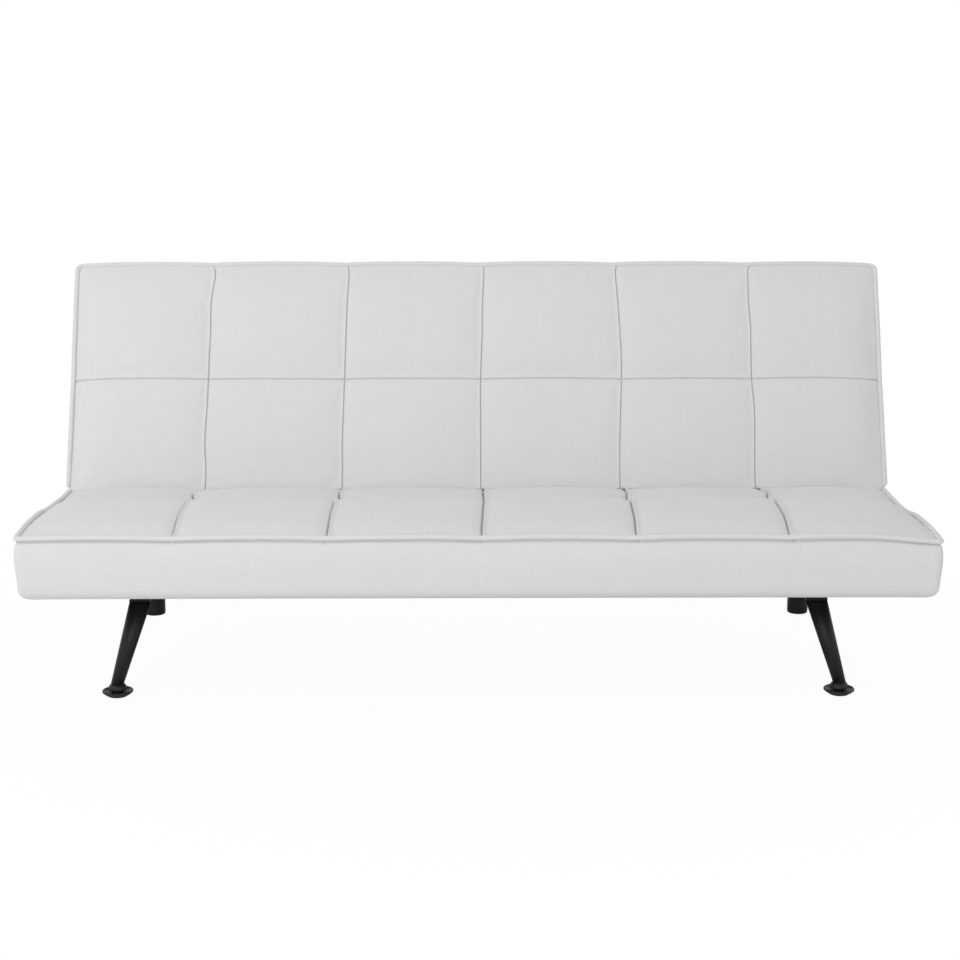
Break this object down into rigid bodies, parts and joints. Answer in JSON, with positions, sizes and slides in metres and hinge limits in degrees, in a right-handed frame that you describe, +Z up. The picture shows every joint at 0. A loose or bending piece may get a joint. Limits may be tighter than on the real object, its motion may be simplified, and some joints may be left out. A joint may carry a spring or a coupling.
{
  "type": "click clack sofa bed",
  "caption": "Armless folding sofa bed: tufted seat and reclining back of equal width on a black steel base with splayed front legs.",
  "frame": {"origin": "on the floor under the centre of the bounding box at rest, the back upright", "axes": "+X to the right seen from the front, the front of the seat faces -Y, +Z up"},
  "size_m": [1.7786, 0.8048, 0.8197],
  "materials": {
    "upholstery": "pale grey linen-look weave, matt",
    "piping": "pale grey welt in the same cloth",
    "dust_cover": "thin black non-woven cloth",
    "webbing": "woven elastic webbing",
    "black_steel": "black satin powder coat",
    "zinc_steel": "zinc plated pressed steel",
    "black_plastic": "black moulded plastic",
    "rubber": "black moulded rubber"
  },
  "bodies": {
    "base": {"base_rail_left": "black_steel", "base_rail_right": "black_steel", "base_crossbar_front": "black_steel", "base_crossbar_hinge": "black_steel", "base_crossbar_rear": "black_steel", "bumper_front_left": "rubber", "bumper_middle_left": "rubber", "bumper_rear_left": "rubber", "bumper_front_right": "rubber", "bumper_middle_right": "rubber", "bumper_rear_right": "rubber", "front_leg_plate_left": "black_steel", "front_leg_left": "black_steel", "front_glide_socket_left": "black_plastic", "rear_leg_left": "black_steel", "rear_foot_pad_left": "black_plastic", "front_leg_plate_right": "black_steel", "front_leg_right": "black_steel", "front_glide_socket_right": "black_plastic", "rear_leg_right": "black_steel", "rear_foot_pad_right": "black_plastic", "hinge_bracket_left": "zinc_steel", "hinge_pin_left": "zinc_steel", "hinge_bracket_right": "zinc_steel", "hinge_pin_right": "zinc_steel"},
    "seat": {"seat_cushion": "upholstery", "seat_piping": "piping", "seat_frame_left": "black_steel", "seat_bearer_left": "black_steel", "seat_frame_right": "black_steel", "seat_bearer_right": "black_steel", "seat_frame_inner": "black_steel", "seat_frame_outer": "black_steel", "seat_webbing_1": "webbing", "seat_webbing_2": "webbing", "seat_webbing_3": "webbing", "seat_webbing_4": "webbing", "seat_dust_cover": "dust_cover", "seat_hinge_arm_left": "zinc_steel", "seat_hinge_arm_right": "zinc_steel"},
    "back": {"back_cushion": "upholstery", "back_piping": "piping", "back_frame_left": "black_steel", "back_bearer_left": "black_steel", "back_frame_right": "black_steel", "back_bearer_right": "black_steel", "back_frame_inner": "black_steel", "back_frame_outer": "black_steel", "back_webbing_1": "webbing", "back_webbing_2": "webbing", "back_webbing_3": "webbing", "back_webbing_4": "webbing", "back_dust_cover": "dust_cover", "back_hinge_arm_left": "zinc_steel", "back_hinge_arm_right": "zinc_steel"},
    "pawl_left": {"ratchet_pawl_left": "zinc_steel"},
    "pawl_right": {"ratchet_pawl_right": "zinc_steel"},
    "glide_left": {"front_glide_disc_left": "black_plastic"},
    "glide_right": {"front_glide_disc_right": "black_plastic"}
  },
  "joints": [
    {"name": "back_recline", "type": "hinge", "parent": "base", "child": "back", "pos_m": [0, 0.11754, 0.341], "axis": [-1, 0, 0], "range_deg": [-8, 67.5]},
    {"name": "seat_lift", "type": "hinge", "parent": "base", "child": "seat", "pos_m": [0, 0.11754, 0.341], "axis": [-1, 0, 0], "range_deg": [0, 30]},
    {"name": "pawl_left_swing", "type": "hinge", "parent": "back", "child": "pawl_left", "pos_m": [-0.8513, 0.15464, 0.34923], "axis": [1, 0, 0], "range_deg": [0, 12], "stiffness_Nm_per_rad": 0.05},
    {"name": "pawl_right_swing", "type": "hinge", "parent": "back", "child": "pawl_right", "pos_m": [0.8513, 0.15464, 0.34923], "axis": [1, 0, 0], "range_deg": [0, 12], "stiffness_Nm_per_rad": 0.05},
    {"name": "glide_left_tilt", "type": "hinge", "parent": "base", "child": "glide_left", "pos_m": [-0.72901, -0.25246, 0.0115], "axis": [0, 1, 0], "range_deg": [-6, 6]},
    {"name": "glide_right_tilt", "type": "hinge", "parent": "base", "child": "glide_right", "pos_m": [0.72901, -0.25246, 0.0115], "axis": [0, 1, 0], "range_deg": [-6, 6]}
  ]
}
